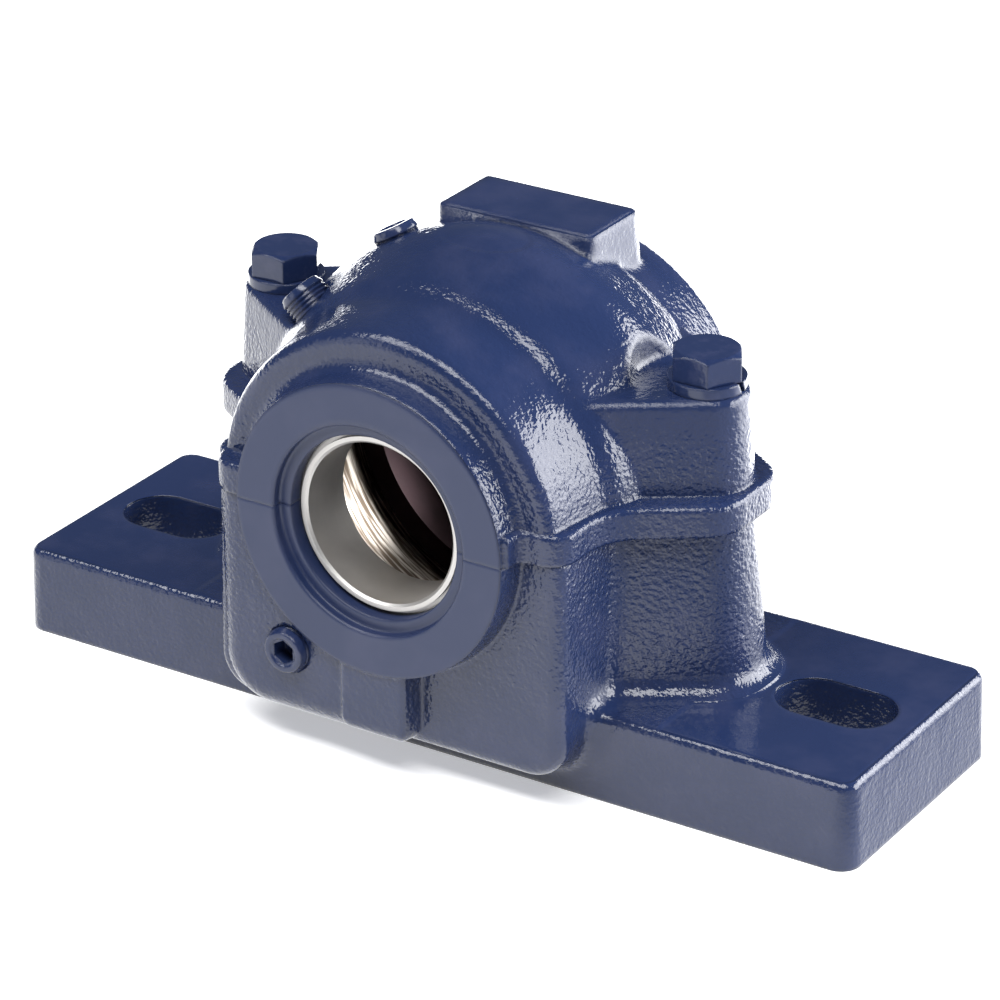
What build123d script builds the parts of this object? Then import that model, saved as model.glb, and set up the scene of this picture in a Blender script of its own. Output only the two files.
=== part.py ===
from build123d import *
import math
import os

# Split pillow block housing, in millimetres. X runs along the foot, Y along the shaft and Z up.
# The origin is on the ground under the middle of the bearing seat, and the front is at -Y.

# Foot
foot_length = 210.0
foot_width = 62.0
foot_height = 19.8
foot_corner_radius = 4.6
foot_edge_radius = 2.0
foot_draft = 1.5
foot_y = 1.7
slot_from_end = 20.5
slot_width = 16.6
slot_length = 27.0

# Shaft line and the length of the housing along it
shaft_height = 57.15
housing_length = 92.3

# Seal openings at both ends
opening_radius = 23.3
opening_depth = 2.4
opening_chamfer = 0.4
seal_bore_radius = 20.6
seal_wall = 14.3
annulus_radius = 32.6
annulus_draft = 9.0

# Bearing seat and the chambers beside it
seat_radius = 40.0
seat_width = 39.0
chamber_radius = 36.0
sump_half_width = 29.0
sump_floor = 18.0
sump_corner_radius = 8.0

# Body of the base below the split
belly_half_width = 42.8
belly_end_setback = 6.45
belly_bottom = 7.2
belly_corner_radius = 9.0
belly_edge_radius = 3.2
belly_draft = 1.0
drain_boss_half_width = 40.5
drain_boss_setback = 1.55
drain_boss_corner_radius = 12.0
drain_boss_edge_radius = 5.9
rib_setback = 0.55
rib_bottom = 9.0
rib_half_width = 7.9
rib_flare = 2.6
rib_edge_radius = 1.2
rib_foot_radius = 3.0

# Bolt columns of both halves
bolt_spacing = 105.0
base_column_radius = 9.8
cap_column_radius = 10.5
column_side_angle = 34.0
column_corner_share = 0.9
base_column_side_offset = 0.5
base_column_root_x = 36.0
cap_column_root_x = 30.0
base_column_draft = 5.3
cap_column_draft = 3.2
column_foot_fillet = 5.0
base_column_fillet = 6.0
cap_column_fillet = 1.5
cap_column_run_out = 5.4
column_rim_radius = 1.4
bolt_seat_rise = 27.45
wrench_pocket_radius = 15.8
wrench_pocket_fillet = 1.6

# Flange along the foot of the cap
flange_thickness = 6.8
flange_overhang = 1.7
flange_side_offset = 3.3
flange_body_overhang = 0.8
flange_corner_radius = 5.5
flange_boss_overhang = 0.1
flange_neck_radius = 15.0
flange_step_radius = 2.5
flange_edge_radius = 1.3
flange_front_half_width = 33.8
flange_front_recess = 0.9

# Crown of the cap, as radii about the shaft line
shoulder_front_radius = 41.0
shoulder_rear_radius = 43.2
crown_edge_radius = 45.7
crown_edge_y = 19.3
crown_step_length = 3.5
crown_radius = 50.4
crown_flat = 4.0
annulus_root_fillet = 2.6
shoulder_fillet = 2.8
crown_step_fillet = 6.5
crown_top_fillet = 25.0

# Flat pad on the rear of the crown
pad_length = 38.0
pad_width = 19.4
pad_y = 20.2
pad_rise = 49.65
pad_corner_radius = 1.6
pad_edge_radius = 0.8
pad_draft = 6.0

# Cap bolts and their spring washers
bolt_diameter = 9.53
bolt_head_flats = 14.1
bolt_head_height = 6.0
bolt_head_chamfer_angle = 30.0
bolt_engagement = 24.0
bolt_tip_chamfer = 1.2
tapped_hole_extra = 4.0
bolt_hole_clearance = 0.45
thread_clearance = 0.05
washer_outer_radius = 8.3
washer_thickness = 2.4
washer_bore_clearance = 0.25
washer_gap = 1.3
washer_gap_slant = 25.0

# Dowel pins across the split
dowel_diameter = 4.76
dowel_length = 16.0
dowel_x = 46.0
dowel_y = 13.0
dowel_clearance = 0.02
dowel_end_clearance = 0.5
dowel_chamfer = 0.5

# Socket pipe plugs
plug_diameter = 10.3
plug_length = 9.0
plug_socket_flats = 4.8
plug_socket_depth = 4.5
plug_chamfer = 0.7
plug_hole_clearance = 0.03
drain_x = 21.6
drain_height = 23.8
drain_stand_out = 2.4
crown_plug_angle = 28.0
crown_plug_y = 1.7
crown_plug_stand_out = 1.9
flank_plug_angle = 48.0
flank_plug_y = 14.1
flank_plug_stand_out = 4.0

# Labyrinth seal rings
ring_recess = 4.6
ring_length = 13.8
ring_bore_radius = 17.95
ring_nose_radius = 19.4
ring_nose_length = 1.4
ring_chamfer = 0.5
ring_clearance = 0.35
ring_ridge_radius = 23.4
ring_ridge_width = 2.0
ring_ridge_pitch = 4.6
ring_first_ridge = 2.0
groove_side_clearance = 0.4
groove_radial_clearance = 0.5

# Locating ring in the rear of the bearing seat
locating_ring_width = 10.5
locating_ring_bore_radius = 34.5
locating_ring_gap_angle = 60.0
locating_ring_clearance = 0.1

half_length = housing_length / 2
belly_half_length = half_length - belly_end_setback
drain_boss_front = half_length - drain_boss_setback
rib_front = half_length - rib_setback
slot_spacing = foot_length - 2 * slot_from_end
bolt_seat_height = shaft_height + bolt_seat_rise
pad_top = shaft_height + pad_rise
bolt_x = bolt_spacing / 2
bolt_radius = bolt_diameter / 2
plug_radius = plug_diameter / 2
dowel_radius = dowel_diameter / 2


def spread(height, draft):
    """How far a drafted wall moves out over a height."""
    return height * math.tan(math.radians(draft))


def turned_half(solid, middle_y=0):
    """The same solid after a half turn about a vertical axis on the middle plane."""
    return Pos(0, middle_y, 0) * Rot(0, 0, 180) * Pos(0, -middle_y, 0) * solid


def both_sides(solid):
    """A copy at each bolt of a solid that is centred on the origin."""
    return [Pos(side * bolt_x, foot_y, 0) * solid for side in (-1, 1)]


def about_shaft(points, roundings=()):
    """A solid turned about the shaft line from (y, radius) points, some of them rounded."""
    profile = make_face(Polyline([(radius, y) for y, radius in points], close=True))
    for y, radius, rounding in roundings:
        corner = profile.vertices().sort_by_distance((radius, y, 0))[0]
        profile = fillet(corner, rounding)
    return Pos(0, 0, shaft_height) * revolve(profile, Axis.Y, 360)


def both_ends(points):
    """Points of the front half, from the end face inwards, followed by their mirror images."""
    return points + [(-y, *rest) for y, *rest in reversed(points)]


def half_space(above):
    """A block that covers everything above or below the split."""
    size = 2 * foot_length
    offset = size / 2 if above else -size / 2
    return Pos(0, 0, shaft_height + offset) * Box(size, size, size)


def column_outline(radius, root_x, side_offset=0):
    """Plan of the right bolt column: a round end past the bolt and sides that widen to the barrel."""
    angle = math.radians(column_side_angle)
    reach = (radius + side_offset) / math.sin(angle)
    root_y = (bolt_x + reach - root_x) * math.tan(angle)
    end_x = bolt_x + radius
    end_y = (bolt_x + reach - end_x) * math.tan(angle)
    outline = make_face(Polyline(
        (root_x, -root_y), (end_x, -end_y), (end_x, end_y), (root_x, root_y), close=True))
    corners = outline.vertices().group_by(Axis.X)[-1]
    return Pos(0, foot_y) * fillet(corners, column_corner_share * radius)


def make_foot():
    foot = extrude(
        RectangleRounded(foot_length, foot_width, foot_corner_radius),
        amount=foot_height,
        taper=foot_draft,
    )
    rim = foot.faces().sort_by(Axis.Z)[-1].edges()
    return Pos(0, foot_y, 0) * fillet(rim, foot_edge_radius)


def make_belly():
    height = shaft_height - belly_bottom
    growth = spread(height, belly_draft)
    block = Pos(0, 0, belly_bottom) * extrude(
        Rectangle(2 * (belly_half_width + growth), 2 * (belly_half_length + growth)),
        amount=height,
        taper=belly_draft,
    )
    lower_sides = block.edges().filter_by(Axis.Y).group_by(Axis.Z)[0]
    block = fillet(lower_sides, belly_corner_radius)
    for end in (0, -1):
        outline = block.faces().sort_by(Axis.Y)[end].edges()
        block = fillet([e for e in outline if e.center().Z < shaft_height - 1], belly_edge_radius)
    return block


def make_drain_boss():
    outline = Polyline(
        (0, belly_bottom),
        (-drain_boss_half_width, belly_bottom),
        (-drain_boss_half_width, shaft_height),
        (0, shaft_height),
        close=True,
    )
    face = make_face(outline)
    corner = face.vertices().sort_by_distance((-drain_boss_half_width, belly_bottom, 0))[0]
    face = fillet(corner, drain_boss_corner_radius)
    boss = extrude(Plane.XZ * face, amount=drain_boss_front)
    rim = boss.faces().sort_by(Axis.Y)[0].edges()
    outer = [e for e in rim if e.center().Z < shaft_height - 1 and e.center().X < -1]
    return fillet(outer, drain_boss_edge_radius)


def make_rib():
    root_y = belly_half_length - 4
    face = make_face(Polyline(
        (-rib_half_width - rib_flare, -root_y),
        (-rib_half_width, -rib_front),
        (rib_half_width, -rib_front),
        (rib_half_width + rib_flare, -root_y),
        close=True,
    ))
    face = fillet(face.vertices().group_by(Axis.Y)[0], rib_edge_radius)
    rib = extrude(face, amount=shaft_height - annulus_radius)
    lower_sides = [
        edge for edge in rib.edges().group_by(Axis.Z)[0].filter_by(GeomType.LINE)
        if abs(edge.center().X) > rib_half_width
    ]
    return Pos(0, 0, rib_bottom) * fillet(lower_sides, rib_foot_radius)


def make_base_column():
    bottom = foot_height / 2
    height = shaft_height - bottom
    radius = base_column_radius + spread(height, base_column_draft)
    outline = column_outline(radius, base_column_root_x, base_column_side_offset)
    return Pos(0, 0, bottom) * extrude(outline, amount=height, taper=base_column_draft)


def make_end_bosses():
    """Both annular bosses round the seals, as one solid that runs through the housing."""
    boss_length = half_length - belly_half_length
    root_radius = annulus_radius + spread(boss_length, annulus_draft)
    return about_shaft(both_ends([
        (-half_length, 0),
        (-half_length, annulus_radius),
        (-belly_half_length, root_radius),
        (-belly_half_length + 2, root_radius),
    ]))


def make_cavity():
    """Everything turned out of both halves: the openings, grooves, chambers and bearing seat."""
    bore = seal_bore_radius
    groove = ring_ridge_radius + groove_radial_clearance
    points = [
        (-half_length - 1, 0),
        (-half_length - 1, opening_radius + opening_chamfer + 1),
        (-half_length + opening_chamfer, opening_radius),
        (-half_length + opening_depth, opening_radius),
        (-half_length + opening_depth, bore),
    ]
    for index in range(2):
        start = -half_length + ring_recess + ring_first_ridge + index * ring_ridge_pitch
        front = start - groove_side_clearance
        rear = start + ring_ridge_width + groove_side_clearance
        points += [(front, bore), (front, groove), (rear, groove), (rear, bore)]
    points += [
        (-half_length + seal_wall, bore),
        (-half_length + seal_wall, chamber_radius),
        (-seat_width / 2, chamber_radius),
        (-seat_width / 2, seat_radius),
    ]
    return about_shaft(both_ends(points))


def make_sump():
    """A pocket with a flat floor under each chamber."""
    length = half_length - seal_wall - seat_width / 2
    middle = seat_width / 2 + length / 2
    outline = Pos(0, shaft_height) * RectangleRounded(
        2 * sump_half_width, 2 * (shaft_height - sump_floor), sump_corner_radius)
    pocket = extrude(Plane.XZ * outline, amount=length / 2, both=True)
    return [Pos(0, -middle, 0) * pocket, Pos(0, middle, 0) * pocket]


def make_slots():
    slot = SlotOverall(slot_length, slot_width)
    cutter = Pos(0, 0, -1) * extrude(slot, amount=foot_height + 2)
    return [Pos(side * slot_spacing / 2, foot_y, 0) * cutter for side in (-1, 1)]


def bolt_holes(radius, bottom, top):
    return both_sides(Pos(0, 0, (bottom + top) / 2) * Cylinder(radius, top - bottom))


def dowel_holes():
    depth = dowel_length + 2 * dowel_end_clearance
    hole = dowel_place * Cylinder(dowel_radius + dowel_clearance, depth)
    return [hole, turned_half(hole, foot_y)]


def drain_hole():
    """The tapped drain through the front end wall into the sump."""
    length = seal_wall + 2
    start = -half_length - 1
    hole = Cylinder(plug_radius + plug_hole_clearance, length)
    return Pos(-drain_x, start + length / 2, drain_height) * Rot(90, 0, 0) * hole


def radial_frame(angle, y, radius):
    """A plane on the crown, square to the radius that leans to -X by an angle."""
    tilt = math.radians(angle)
    outward = (-math.sin(tilt), 0, math.cos(tilt))
    origin = (radius * outward[0], y, shaft_height + radius * outward[2])
    return Plane(origin, x_dir=(0, 1, 0), z_dir=outward)


def plug_hole(place):
    depth = 2 * (crown_radius - seat_radius) + plug_length
    return place * Cylinder(plug_radius + plug_hole_clearance, depth)


def make_base():
    column = make_base_column()
    body = make_belly() + [column, turned_half(column, foot_y)]
    roots = [
        edge for edge in body.edges()
        if edge.bounding_box().size.Z > foot_height
        and abs(edge.center().X) > belly_half_width - 1
        and abs(edge.center().Y) < belly_half_length - belly_edge_radius - 1
    ]
    body = make_foot() + fillet(roots, base_column_fillet)
    on_foot = [
        edge for edge in body.edges()
        if abs(edge.bounding_box().min.Z - foot_height) < 0.02
        and abs(edge.bounding_box().max.Z - foot_height) < 0.02
        and abs(edge.center().X) < slot_spacing / 2 - slot_length / 2
    ]
    body = fillet(on_foot, column_foot_fillet)
    boss = make_drain_boss()
    rib = make_rib()
    body += [boss, turned_half(boss), rib, turned_half(rib)]
    body += make_end_bosses() & half_space(above=False)
    body -= make_cavity()
    body -= make_sump()
    body -= make_slots()
    body -= bolt_holes(bolt_radius + thread_clearance,
                       shaft_height - bolt_engagement - tapped_hole_extra, shaft_height + 1)
    body -= dowel_holes()
    body -= [drain_hole(), turned_half(drain_hole())]
    return body


def make_crown():
    boss_length = half_length - belly_half_length
    root_radius = annulus_radius + spread(boss_length, annulus_draft)
    shoulder_end = -crown_edge_y - crown_step_length
    points = both_ends([
        (-half_length, 0),
        (-half_length, annulus_radius),
        (-belly_half_length, root_radius),
        (-belly_half_length, shoulder_front_radius),
        (shoulder_end, shoulder_rear_radius),
        (-crown_edge_y, crown_edge_radius),
        (-crown_flat, crown_radius),
    ])
    roundings = both_ends([
        (-belly_half_length, root_radius, annulus_root_fillet),
        (-belly_half_length, shoulder_front_radius, shoulder_fillet),
        (shoulder_end, shoulder_rear_radius, crown_step_fillet),
        (-crown_edge_y, crown_edge_radius, crown_step_fillet),
        (-crown_flat, crown_radius, crown_top_fillet),
    ])
    return about_shaft(points, roundings) & half_space(above=True)


def crown_surface_radius(y):
    """Radius of the sloping band of the crown at a distance from the middle."""
    slope = (crown_radius - crown_edge_radius) / (crown_edge_y - crown_flat)
    return crown_edge_radius + slope * (crown_edge_y - abs(y))


def make_columned_crown():
    """The crown with both bolt columns, blended into it and cut level at the bolt seats."""
    crown = make_crown()
    height = bolt_seat_rise + cap_column_run_out
    outline = column_outline(cap_column_radius, cap_column_root_x)
    column = Pos(0, 0, shaft_height) * extrude(outline, amount=height, taper=cap_column_draft)
    body = crown + [column, turned_half(column, foot_y)]
    sides = [
        face for face in body.faces().filter_by(GeomType.PLANE)
        if abs(face.center().X) > cap_column_root_x and 0.5 < abs(face.normal_at().Y) < 0.95
    ]
    seam = [
        edge for face in sides for edge in face.edges()
        if edge.geom_type != GeomType.LINE and abs(edge.center().X) < bolt_x - cap_column_radius / 2
    ]
    body = fillet(seam, cap_column_fillet)
    size = 2 * foot_length
    body &= Pos(0, 0, bolt_seat_height - size / 2) * Box(size, size, size)
    rim = body.faces().sort_by(Axis.Z)[-1].edges()
    return crown + fillet(rim, column_rim_radius)


def make_flange():
    """The flange that the cap stands on, flush with the drain bosses at two corners."""
    body_x = belly_half_width + flange_body_overhang
    body_y = belly_half_length + flange_body_overhang
    front_y = half_length - flange_front_recess
    body = Rectangle(2 * body_x, 2 * body_y)
    body = fillet(body.vertices(), flange_corner_radius)
    front = Rectangle(2 * flange_front_half_width, 2 * front_y)
    boss_x = drain_boss_half_width + flange_boss_overhang
    boss = Pos(-boss_x / 2, -front_y / 2) * Rectangle(boss_x, front_y)
    outer_corner = boss.vertices().sort_by_distance((-boss_x, -front_y, 0))[0]
    boss = fillet(outer_corner, drain_boss_edge_radius)
    column = column_outline(cap_column_radius + flange_overhang, base_column_root_x,
                            flange_side_offset)
    outline = body + front + boss + turned_half(boss) + column + turned_half(column, foot_y)
    necks = [v for v in outline.vertices()
             if abs(abs(v.X) - body_x) < 0.1 and abs(v.Y) < body_y - flange_corner_radius - 1]
    outline = fillet(necks, flange_neck_radius)
    steps = [v for v in outline.vertices()
             if abs(abs(v.X) - flange_front_half_width) < 0.1 and abs(abs(v.Y) - body_y) < 0.1]
    outline = fillet(steps, flange_step_radius)
    flange = Pos(0, 0, shaft_height) * extrude(outline, amount=flange_thickness)
    return fillet(flange.faces().sort_by(Axis.Z)[-1].edges(), flange_edge_radius)


def make_pad():
    bottom = shaft_height + chamber_radius
    height = pad_top - bottom
    growth = spread(height, pad_draft)
    outline = RectangleRounded(pad_length + 2 * growth, pad_width + 2 * growth,
                               pad_corner_radius + growth)
    pad = Pos(0, pad_y, bottom) * extrude(outline, amount=height, taper=pad_draft)
    return fillet(pad.faces().sort_by(Axis.Z)[-1].edges(), pad_edge_radius)


def make_cap():
    body = make_columned_crown()
    pocket_height = crown_radius
    pocket = Cylinder(wrench_pocket_radius, pocket_height)
    pocket = fillet(pocket.edges().group_by(Axis.Z)[0], wrench_pocket_fillet)
    body -= both_sides(Pos(0, 0, bolt_seat_height + pocket_height / 2) * pocket)
    body += make_flange()
    body += make_pad()
    body -= make_cavity()
    body -= bolt_holes(bolt_radius + bolt_hole_clearance, shaft_height - 1, bolt_seat_height + 1)
    body -= dowel_holes()
    body -= [plug_hole(crown_plug_place), plug_hole(flank_plug_place)]
    return body


def make_bolt():
    """A hexagon head bolt that stands on the origin, with its shank downwards."""
    across_corners = bolt_head_flats / math.cos(math.radians(30))
    head = extrude(RegularPolygon(across_corners / 2, 6), amount=bolt_head_height)
    rise = spread(across_corners / 2, bolt_head_chamfer_angle)
    flat_radius = 0.95 * bolt_head_flats / 2
    crown = make_face(Polyline(
        (0, 0),
        (across_corners, 0),
        (across_corners, bolt_head_height - spread(across_corners - flat_radius,
                                                   bolt_head_chamfer_angle)),
        (flat_radius, bolt_head_height),
        (0, bolt_head_height),
        close=True,
    ))
    head &= revolve(Plane.XZ * crown, Axis.Z, 360)
    seat = bolt_seat_height + washer_thickness
    length = seat - shaft_height + bolt_engagement
    shank = Pos(0, 0, -length / 2) * Cylinder(bolt_radius, length)
    shank = chamfer(shank.edges().group_by(Axis.Z)[0], bolt_tip_chamfer)
    return head + shank


def make_spring_washer():
    """A split ring of square section whose gap is cut on a slant."""
    inner = bolt_radius + washer_bore_clearance
    ring = extrude(Circle(washer_outer_radius) - Circle(inner), amount=washer_thickness)
    gap = Box(washer_outer_radius, washer_gap, 3 * washer_thickness)
    return ring - Pos(washer_outer_radius / 2 + inner / 2, 0, washer_thickness / 2) * (
        Rot(washer_gap_slant, 0, 0) * gap)


def make_dowel():
    pin = Cylinder(dowel_radius, dowel_length)
    return chamfer(pin.edges().filter_by(GeomType.CIRCLE), dowel_chamfer)


def make_plug(stand_out):
    """A pipe plug with a hexagon socket. Its axis is Z and the surface it stands in is Z = 0."""
    body = Pos(0, 0, stand_out - plug_length / 2) * Cylinder(plug_radius, plug_length)
    body = chamfer(body.edges().filter_by(GeomType.CIRCLE), plug_chamfer)
    socket = RegularPolygon(plug_socket_flats / math.sqrt(3), 6)
    return body - Pos(0, 0, stand_out - plug_socket_depth) * extrude(socket, amount=plug_length)


def make_seal_ring():
    """The front labyrinth ring, turned in one piece with two ridges."""
    front = -half_length + ring_recess
    rear = front + ring_length
    body = seal_bore_radius - ring_clearance
    points = [
        (front, ring_bore_radius + ring_chamfer),
        (front, ring_nose_radius),
        (front + ring_nose_length, ring_nose_radius),
        (front + ring_nose_length, body),
    ]
    for index in range(2):
        start = front + ring_first_ridge + index * ring_ridge_pitch
        end = start + ring_ridge_width
        points += [(start, body), (start, ring_ridge_radius), (end, ring_ridge_radius), (end, body)]
    points += [
        (rear, body),
        (rear, ring_bore_radius + ring_chamfer),
        (rear - ring_chamfer, ring_bore_radius),
        (front + ring_chamfer, ring_bore_radius),
    ]
    return about_shaft(points)


def make_locating_ring():
    outer = seat_radius - locating_ring_clearance
    rear = seat_width / 2 - locating_ring_clearance
    front = rear - locating_ring_width
    ring = about_shaft([
        (front, locating_ring_bore_radius),
        (front, outer),
        (rear, outer),
        (rear, locating_ring_bore_radius),
    ])
    half_gap = locating_ring_gap_angle / 2
    reach = 2 * seat_radius
    side = reach * math.sin(math.radians(half_gap))
    wedge = make_face(Polyline(
        (0, shaft_height),
        (-side, shaft_height + reach),
        (side, shaft_height + reach),
        close=True,
    ))
    return ring - extrude(Plane.XZ * wedge, amount=seat_width, both=True)


def make_parts():
    bolts = both_sides(Pos(0, 0, bolt_seat_height + washer_thickness) * make_bolt())
    washers = both_sides(Pos(0, 0, bolt_seat_height) * make_spring_washer())
    dowel = dowel_place * make_dowel()
    seal_ring = make_seal_ring()
    drain_place = Plane((-drain_x, -drain_boss_front, drain_height), x_dir=(1, 0, 0),
                        z_dir=(0, -1, 0))
    drain_plug = drain_place * make_plug(drain_stand_out)
    return {
        "base_half": make_base(),
        "cap_half": make_cap(),
        "seal_ring_front": seal_ring,
        "seal_ring_rear": turned_half(seal_ring),
        "locating_ring": make_locating_ring(),
        "cap_bolt_left": bolts[0],
        "cap_bolt_right": bolts[1],
        "spring_washer_left": washers[0],
        "spring_washer_right": washers[1],
        "dowel_pin_left": turned_half(dowel, foot_y),
        "dowel_pin_right": dowel,
        "drain_plug_front": drain_plug,
        "drain_plug_rear": turned_half(drain_plug),
        "crown_plug": crown_plug_place * make_plug(crown_plug_stand_out),
        "flank_plug": flank_plug_place * make_plug(flank_plug_stand_out),
    }


dowel_place = Pos(dowel_x, foot_y + dowel_y, shaft_height)
crown_plug_place = radial_frame(crown_plug_angle, crown_plug_y, crown_radius)
flank_plug_place = radial_frame(flank_plug_angle, -flank_plug_y, crown_surface_radius(flank_plug_y))

os.makedirs("parts", exist_ok=True)
for name, solid in make_parts().items():
    export_step(solid, f"parts/{name}.step")
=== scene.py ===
import math

import bpy
from mathutils import Matrix, Vector


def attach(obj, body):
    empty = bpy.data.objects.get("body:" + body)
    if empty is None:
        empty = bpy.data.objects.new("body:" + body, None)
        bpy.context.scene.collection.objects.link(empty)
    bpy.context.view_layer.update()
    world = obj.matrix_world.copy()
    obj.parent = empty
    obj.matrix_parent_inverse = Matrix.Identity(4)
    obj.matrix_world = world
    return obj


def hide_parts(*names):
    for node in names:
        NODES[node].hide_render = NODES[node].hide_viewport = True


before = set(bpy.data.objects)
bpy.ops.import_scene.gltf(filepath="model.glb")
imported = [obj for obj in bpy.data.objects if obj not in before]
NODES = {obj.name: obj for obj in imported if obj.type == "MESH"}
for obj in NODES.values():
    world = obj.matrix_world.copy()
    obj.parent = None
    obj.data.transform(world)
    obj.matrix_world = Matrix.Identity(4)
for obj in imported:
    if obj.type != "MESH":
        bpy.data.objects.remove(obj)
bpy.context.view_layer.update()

MM = 0.001

# Places on the CAD parts, in metres, that the finishes change at
SHAFT_HEIGHT = 57.15 * MM
END_FACE = 46.15 * MM
OPENING_DEPTH = 12.0 * MM
OPENING_RADIUS = 24.0 * MM
CHAMBER_END = 33.0 * MM
CHAMBER_RADIUS = 40.3 * MM
SEAT_RADIUS = 38.5 * MM
FOOT_TOP = 19.8 * MM
FOOT_INNER_END = 58.0 * MM
CROWN_BOTTOM = 70.0 * MM
PAD_BOTTOM = 95.0 * MM
PAD_TOP = 106.3 * MM

# Threaded plugs, in mm
PLUG_RADIUS = 5.15
PLUG_LENGTH = 9.0
THREAD_PITCH = 0.94
THREAD_DEPTH = 0.42
THREAD_RUN_OUT = 0.3
THREAD_TOP = 1.1
SOCKET_FLATS = 4.8
SOCKET_DEPTH = 4.5

NAVY = (0.0140, 0.0250, 0.076, 1)
NAVY_THIN = (0.024, 0.034, 0.088, 1)
OILY_IRON = (0.10, 0.075, 0.055, 1)
STREAK_HIGHLIGHT_IRON = (0.58, 0.53, 0.47, 1)
BRONZE_STAIN = (0.40, 0.29, 0.13, 1)
OILY_DARK = (0.022, 0.014, 0.016, 1)
OILY_RED = (0.06, 0.032, 0.038, 1)
RING_METAL = (0.46, 0.45, 0.435, 1)
RING_STAIN = (0.60, 0.58, 0.56, 1)


class Value:
    """An output of a finish's node that can be used in arithmetic."""

    def __init__(self, finish, socket):
        self.finish = finish
        self.socket = socket

    def math(self, operation, *terms):
        return self.finish.node("Math", {"operation": operation}, dict(enumerate(terms)))["Value"]

    def __add__(self, other):
        return self.math("ADD", self, other)

    def __sub__(self, other):
        return self.math("SUBTRACT", self, other)

    def __rsub__(self, other):
        return self.math("SUBTRACT", other, self)

    def __mul__(self, other):
        return self.math("MULTIPLY", self, other)

    def __pow__(self, other):
        return self.math("POWER", self, other)

    def __abs__(self):
        return self.math("ABSOLUTE", self)

    __radd__ = __add__
    __rmul__ = __mul__


class Node:
    """A shader node whose outputs are read by name or by number."""

    def __init__(self, finish, made):
        self.finish = finish
        self.made = made

    def __getitem__(self, output):
        return Value(self.finish, self.made.outputs[output])


class Finish:
    """A material that is built from nodes on a surface's own place in the part."""

    def __init__(self, name):
        self.material = bpy.data.materials.new(name)
        self.material.use_nodes = True
        self.tree = self.material.node_tree
        self.tree.nodes.clear()
        self.place = self.node("TexCoord")["Object"]
        along = self.node("SeparateXYZ", inputs={"Vector": self.place})
        self.x = along["X"]
        self.y = along["Y"]
        self.z = along["Z"]

    def node(self, kind, settings=None, inputs=None):
        made = self.tree.nodes.new("ShaderNode" + kind)
        for key, setting in (settings or {}).items():
            setattr(made, key, setting)
        for key, given in (inputs or {}).items():
            socket = made.inputs[key]
            if isinstance(given, Value):
                self.tree.links.new(given.socket, socket)
            else:
                socket.default_value = given
        return Node(self, made)

    def noise(self, size, detail=2.0, roughness=0.5, shift=0.0):
        """Cloudy noise from 0 to 1 whose lumps are about one size across, in metres."""
        moved = self.node("Mapping", inputs={
            "Vector": self.place,
            "Location": (shift, shift, shift),
        })
        return self.node("TexNoise", inputs={
            "Vector": moved["Vector"],
            "Scale": 1 / size,
            "Detail": detail,
            "Roughness": roughness,
        })["Fac"]

    def marks(self, along, size, detail):
        """Noise from 0 to 1 that changes along one value only, such as a radius."""
        return self.node("TexNoise", {"noise_dimensions": "1D"}, {
            "W": along,
            "Scale": 1 / size,
            "Detail": detail,
        })["Fac"]

    def rise(self, value, low, high):
        """0 below low, 1 above high, and a smooth way between them."""
        return self.node("MapRange", {"interpolation_type": "SMOOTHSTEP"}, {
            "Value": value,
            "From Min": low,
            "From Max": high,
        })["Result"]

    def from_shaft(self):
        """The distance from the shaft line."""
        up = self.z - SHAFT_HEIGHT
        return (self.x * self.x + up * up) ** 0.5

    def mix(self, share, first, second):
        """A colour between two colours."""
        # The Mix node has one set of sockets for each data type: these are the colour ones
        factor, colour_a, colour_b, result = 0, 6, 7, 2
        mixed = self.node("Mix", {"data_type": "RGBA"}, {
            factor: share,
            colour_a: first,
            colour_b: second,
        })
        return mixed[result]

    def rounded(self, radius, samples):
        """The surface normal as if each edge had this radius."""
        return self.node("Bevel", {"samples": samples}, {"Radius": radius})["Normal"]

    def bump(self, height, under=None):
        """The surface normal over a height in metres."""
        inputs = {"Height": height, "Distance": 1.0}
        if under is not None:
            inputs["Normal"] = under
        return self.node("Bump", inputs=inputs)["Normal"]

    def end(self, shader):
        self.node("OutputMaterial", inputs={"Surface": shader})
        return self.material

    def close(self, **inputs):
        """Ends the material in one surface shader with these inputs."""
        named = {key.replace("_", " "): given for key, given in inputs.items()}
        return self.end(self.node("BsdfPrincipled", inputs=named)["BSDF"])


def grey(level):
    return (level, level, level, 1)


def turned(name, profile, sides=96):
    """A solid about the Z axis from (height, radius) points in mm, by extruding and scaling its end."""
    bpy.ops.object.select_all(action="DESELECT")
    height, radius = profile[0]
    bpy.ops.mesh.primitive_circle_add(
        vertices=sides, radius=radius * MM, fill_type="NGON", location=(0, 0, height * MM))
    piece = bpy.context.object
    piece.name = name
    bpy.ops.object.transform_apply(location=True, rotation=True, scale=True)
    bpy.ops.object.mode_set(mode="EDIT")
    bpy.ops.mesh.select_mode(type="FACE")
    bpy.ops.mesh.select_all(action="SELECT")
    for next_height, next_radius in profile[1:]:
        bpy.ops.mesh.extrude_region_move(
            TRANSFORM_OT_translate={"value": (0, 0, (next_height - height) * MM)})
        share = next_radius / radius
        bpy.ops.transform.resize(value=(share, share, 1), center_override=(0, 0, 0))
        height, radius = next_height, next_radius
    bpy.ops.mesh.select_all(action="SELECT")
    bpy.ops.mesh.normals_make_consistent(inside=False)
    bpy.ops.object.mode_set(mode="OBJECT")
    return piece


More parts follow.
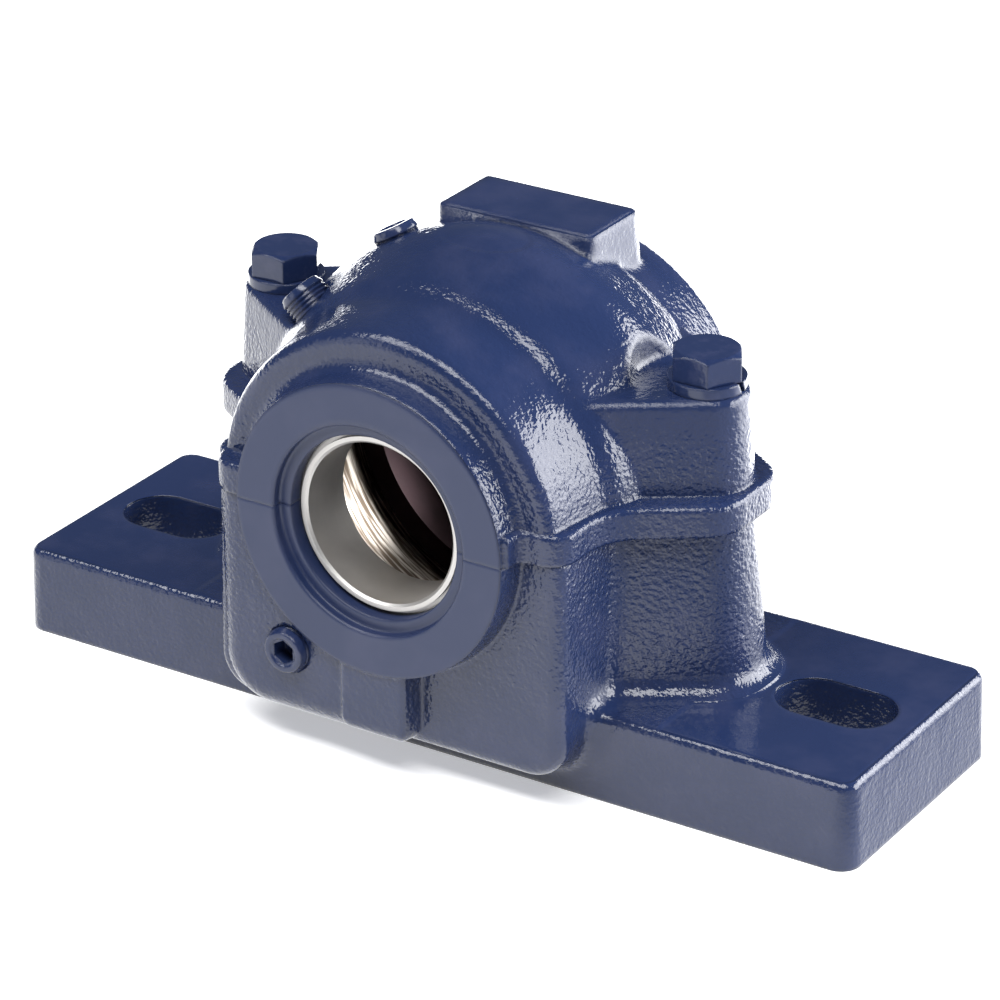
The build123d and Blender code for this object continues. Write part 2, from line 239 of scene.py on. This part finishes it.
def cut(piece, tool):
    """Cuts a tool's shape out of a piece and removes the tool."""
    modifier = piece.modifiers.new("cut", "BOOLEAN")
    modifier.operation = "DIFFERENCE"
    modifier.object = tool
    modifier.solver = "EXACT"
    bpy.context.view_layer.objects.active = piece
    bpy.ops.object.modifier_apply(modifier=modifier.name)
    bpy.data.objects.remove(tool, do_unlink=True)


def settle(piece, place):
    """Moves a piece to its place and keeps the place in its mesh."""
    bpy.ops.object.select_all(action="DESELECT")
    piece.select_set(True)
    bpy.context.view_layer.objects.active = piece
    piece.matrix_world = place
    bpy.ops.object.transform_apply(location=True, rotation=True, scale=True)
    bpy.ops.object.shade_smooth_by_angle(angle=math.radians(28))


def copy_of(piece, name):
    twin = piece.copy()
    twin.data = piece.data.copy()
    twin.name = name
    bpy.context.scene.collection.objects.link(twin)
    return twin


def painted_casting():
    """Gloss navy paint over a sand casting, with turned end faces and a bare, oily inside that carries
    painted highlight streaks.
    """
    f = Finish("painted_casting")
    radius = f.from_shaft()
    along = abs(f.y)

    end_face = f.rise(along, END_FACE - 0.15 * MM, END_FACE - 0.05 * MM)
    opening = f.rise(along, END_FACE - OPENING_DEPTH - 1.0 * MM, END_FACE - OPENING_DEPTH) * (
        1 - f.rise(radius, OPENING_RADIUS, OPENING_RADIUS + 0.3 * MM))
    turned_face = end_face + opening - end_face * opening
    inside = (1 - f.rise(along, CHAMBER_END, CHAMBER_END + 0.5 * MM)) * (
        1 - f.rise(radius, CHAMBER_RADIUS, CHAMBER_RADIUS + 0.3 * MM))
    seat = inside * f.rise(radius, SEAT_RADIUS, SEAT_RADIUS + 0.5 * MM)
    ground_top = f.rise(abs(f.x), FOOT_INNER_END, FOOT_INNER_END + 2.0 * MM) * (
        1 - f.rise(abs(f.z - FOOT_TOP), 0.04 * MM, 0.30 * MM))
    pad_top = f.rise(f.z, PAD_TOP, PAD_TOP + 0.4 * MM)
    pad = f.rise(f.z, PAD_BOTTOM, PAD_BOTTOM + 4.0 * MM)
    crown = f.rise(f.z, CROWN_BOTTOM, CROWN_BOTTOM + 12.0 * MM)
    low = 1 - f.rise(f.z, FOOT_TOP - 0.8 * MM, FOOT_TOP + 12.2 * MM)
    rough = (1 - turned_face) * (1 - inside) * (1 - 0.85 * ground_top) * (1 - 0.6 * pad_top)

    # The sand's grain and the casting's unevenness, then the fine marks on machined faces
    grain = (f.noise(1.0 * MM, 1.5) * (0.32 * MM)
             + f.noise(2.2 * MM, 2.0, shift=3.1) * (0.15 * MM))
    uneven = (f.noise(9.0 * MM, 2.0, shift=7.7) * (0.26 * MM)
              + f.noise(30.0 * MM, 1.0, shift=11.3) * (0.30 * MM))
    cast = (1 - 0.55 * crown - 0.45 * low) * grain + uneven
    faint = f.noise(4.0 * MM, 2.0, shift=5.0) * (0.006 * MM)
    tool_marks = f.marks(f.y, 0.35 * MM, 2.0) * (0.006 * MM)
    height = cast * rough + faint * turned_face + tool_marks * seat

    worn = f.noise(14.0 * MM, 3.0, 0.6, shift=2.0)
    paint = f.mix(f.rise(worn, 0.4, 0.75), NAVY, NAVY_THIN)
    # The thin light streaks round the bore are painted highlights: reflections put into the oily seat's
    # colour
    round_the_bore = f.node("CombineXYZ", inputs={"X": f.y * 2.0, "Y": f.x * 0.15, "Z": f.z * 0.15})
    highlight_streak = f.node("TexNoise", inputs={
        "Vector": round_the_bore["Vector"],
        "Scale": 1 / (1.6 * MM),
        "Detail": 3.0,
    })["Fac"]
    oil = f.mix(f.rise(highlight_streak, 0.38, 0.68), OILY_IRON, STREAK_HIGHLIGHT_IRON)
    upper_left = (1 - f.rise(f.x, -14.0 * MM, -6.0 * MM)) * f.rise(f.z, 62.0 * MM, 72.0 * MM)
    bare = f.mix(upper_left, oil, BRONZE_STAIN)
    edge_radius = (1.2 + crown * 1.3 + pad * 1.5) * MM
    return f.close(
        Base_Color=f.mix(inside, paint, bare),
        Metallic=inside * 0.9,
        Roughness=0.10 + turned_face * 0.28 + inside * 0.20,
        Normal=f.bump(height, under=f.rounded(edge_radius, samples=8)),
    )


def painted_steel():
    """The same paint on machined fasteners and plugs."""
    f = Finish("painted_steel")
    drips = f.noise(2.4 * MM) * (0.05 * MM)
    specks = f.noise(0.7 * MM) * (0.012 * MM)
    worn = f.noise(3.5 * MM, 3.0, 0.6, shift=4.0)
    return f.close(
        Base_Color=f.mix(f.rise(worn, 0.45, 0.7), NAVY, NAVY_THIN),
        Roughness=0.10 + 0.08 * f.noise(1.8 * MM, shift=1.0),
        Normal=f.bump(drips + specks, under=f.rounded(0.7 * MM, samples=6)),
    )


def turned_ring():
    """Light warm-grey turned metal with fine marks round the shaft line."""
    f = Finish("turned_ring")
    tool_marks = f.marks(f.from_shaft() + f.y, 0.16 * MM, 3.0) * (0.004 * MM)
    stain = f.noise(6.0 * MM, 3.0, 0.6)
    return f.close(
        Base_Color=f.mix(stain, RING_METAL, RING_STAIN),
        Metallic=0.85,
        Roughness=0.40 + 0.10 * stain,
        Normal=f.bump(tool_marks),
    )


def oily_steel():
    """Dark ground steel under an uneven film of brown oil."""
    f = Finish("oily_steel")
    film = f.noise(5.0 * MM, 3.0, 0.6)
    return f.close(
        Base_Color=f.mix(film, OILY_DARK, OILY_RED),
        Metallic=0.8,
        Roughness=0.30 + 0.20 * film,
        Normal=f.bump(film * (0.02 * MM)),
    )


def plain_steel():
    """Bare ground steel, for the pins inside the joint."""
    f = Finish("plain_steel")
    return f.close(
        Base_Color=grey(0.5),
        Metallic=1.0,
        Roughness=0.25 + 0.15 * f.noise(1.0 * MM),
    )


def dress(pieces, material):
    for piece in pieces:
        piece.data.materials.clear()
        piece.data.materials.append(material)


def pipe_plug():
    """A plug whose end face is at Z = 0 and whose thread runs down from it."""
    root = PLUG_RADIUS - THREAD_DEPTH
    profile = [(-PLUG_LENGTH, root - THREAD_RUN_OUT)]
    for turn in range(int((PLUG_LENGTH - THREAD_TOP) / THREAD_PITCH)):
        low = -PLUG_LENGTH + THREAD_RUN_OUT + turn * THREAD_PITCH
        profile += [
            (low, root),
            (low + 0.40 * THREAD_PITCH, PLUG_RADIUS),
            (low + 0.60 * THREAD_PITCH, PLUG_RADIUS),
        ]
    rim = [(-0.62, root), (-0.18, root - 0.12), (0.0, root - 0.40)]
    countersink = [(0.0, 3.35), (-0.45, 2.95)]
    plug = turned("pipe_plug", profile + rim + countersink)
    bpy.ops.mesh.primitive_cylinder_add(
        vertices=6, radius=SOCKET_FLATS / math.sqrt(3) * MM, depth=2 * SOCKET_DEPTH * MM,
        location=(0, 0, 0))
    cut(plug, bpy.context.object)
    return plug


def facing(point, outward):
    """The place that puts Z = 0 at a point, in mm, with Z turned outward."""
    turn = Vector(outward).to_track_quat("Z", "Y").to_matrix().to_4x4()
    return Matrix.Translation(Vector(point) * MM) @ turn


def leaning(angle, y, radius):
    """The place out along a radius of the crown that leans to -X, with Z along it."""
    lean = math.radians(angle)
    outward = (-math.sin(lean), 0, math.cos(lean))
    return facing((radius * outward[0], y, SHAFT_HEIGHT / MM + radius * outward[2]), outward)


def add_plugs(material):
    """Plugs with a cut thread and a hexagon socket, in place of the plain ones of the CAD."""
    first = pipe_plug()
    for node, place in (
        ("drain_plug_front", facing((-21.6, -47.0, 23.8), (0, -1, 0))),
        ("drain_plug_rear", facing((21.6, 47.0, 23.8), (0, 1, 0))),
        ("crown_plug", leaning(28.0, 1.7, 52.3)),
        ("flank_plug", leaning(48.0, -14.1, 51.3)),
    ):
        plug = copy_of(first, "threaded_" + node)
        settle(plug, place)
        dress([plug], material)
        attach(plug, "housing")
        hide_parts(node)
    bpy.data.objects.remove(first, do_unlink=True)


def add_floor():
    """A matt floor that looks white to the camera and as bright as the photo's in reflections."""
    bpy.ops.object.select_all(action="DESELECT")
    bpy.ops.mesh.primitive_plane_add(size=12)
    floor = bpy.context.object
    floor.name = "floor"
    f = Finish("white_floor")
    rays = f.node("LightPath")
    far = f.rise((f.x * f.x + f.y * f.y) ** 0.5, 0.12, 0.55)
    front_left = 1 - f.rise(f.x, 0.085, 0.15)
    rear = f.rise(f.y, 0.06, 0.18)
    seen = 0.42 + far * 0.8
    # In reflections the floor glows up to 4.6 times white behind the housing and 1.3 to the front left:
    # painted light that brightens the housing's reflections
    mirrored = front_left * 1.30 + rear * 4.6
    matt = f.node("BsdfDiffuse", inputs={
        "Color": f.mix(rays["Is Glossy Ray"], grey(0.9), grey(0.5)),
    })
    glow = f.node("Emission", inputs={
        "Color": grey(1.0),
        "Strength": rays["Is Camera Ray"] * seen + rays["Is Glossy Ray"] * mirrored,
    })
    both = f.node("AddShader", inputs={0: matt["BSDF"], 1: glow["Emission"]})
    floor.data.materials.append(f.end(both["Shader"]))


def add_lamp(name, place, aim, size, power):
    data = bpy.data.lights.new(name, "AREA")
    data.shape = "RECTANGLE"
    data.size, data.size_y = size
    data.energy = power
    lamp = bpy.data.objects.new(name, data)
    lamp.location = place
    lamp.rotation_euler = (Vector(aim) - Vector(place)).to_track_quat("-Z", "Y").to_euler()
    bpy.context.scene.collection.objects.link(lamp)


def add_world():
    world = bpy.data.worlds.new("dim_room")
    world.use_nodes = True
    background = world.node_tree.nodes["Background"]
    background.inputs["Color"].default_value = (0.10, 0.11, 0.13, 1)
    background.inputs["Strength"].default_value = 1.0
    bpy.context.scene.world = world


def add_camera():
    """A long lens at the photo's angle."""
    data = bpy.data.cameras.new("camera")
    data.lens = 159.3
    data.sensor_width = 36.0
    data.clip_start = 0.01
    seen = bpy.data.objects.new("camera", data)
    seen.location = (0.4644, -0.7171, 0.4538)
    seen.rotation_euler = [math.radians(turn) for turn in (64.475, 0.386, 32.574)]
    bpy.context.scene.collection.objects.link(seen)
    bpy.context.scene.camera = seen


STEEL_NODES = [name for name in NODES if name.startswith(("cap_bolt", "spring_washer"))]
fastener_paint = painted_steel()
for names, material in (
    (["base_half", "cap_half"], painted_casting()),
    (STEEL_NODES, fastener_paint),
    (["seal_ring_front", "seal_ring_rear"], turned_ring()),
    (["locating_ring"], oily_steel()),
    (["dowel_pin_left", "dowel_pin_right"], plain_steel()),
):
    dress([NODES[name] for name in names], material)
add_plugs(fastener_paint)

add_floor()
add_lamp("overhead", (-0.05, -0.55, 1.30), aim=(0.0, 0.0, 0.05), size=(2.0, 0.50), power=30.0)
add_lamp("rear_right", (1.05, 0.82, 0.46), aim=(0.0, 0.0, 0.06), size=(1.6, 0.80), power=42.0)
add_lamp("front_left", (-1.30, -1.50, 0.55), aim=(0.0, 0.0, 0.05), size=(0.8, 0.8), power=3.0)
add_world()
add_camera()
bpy.context.scene.view_settings.view_transform = "Standard"
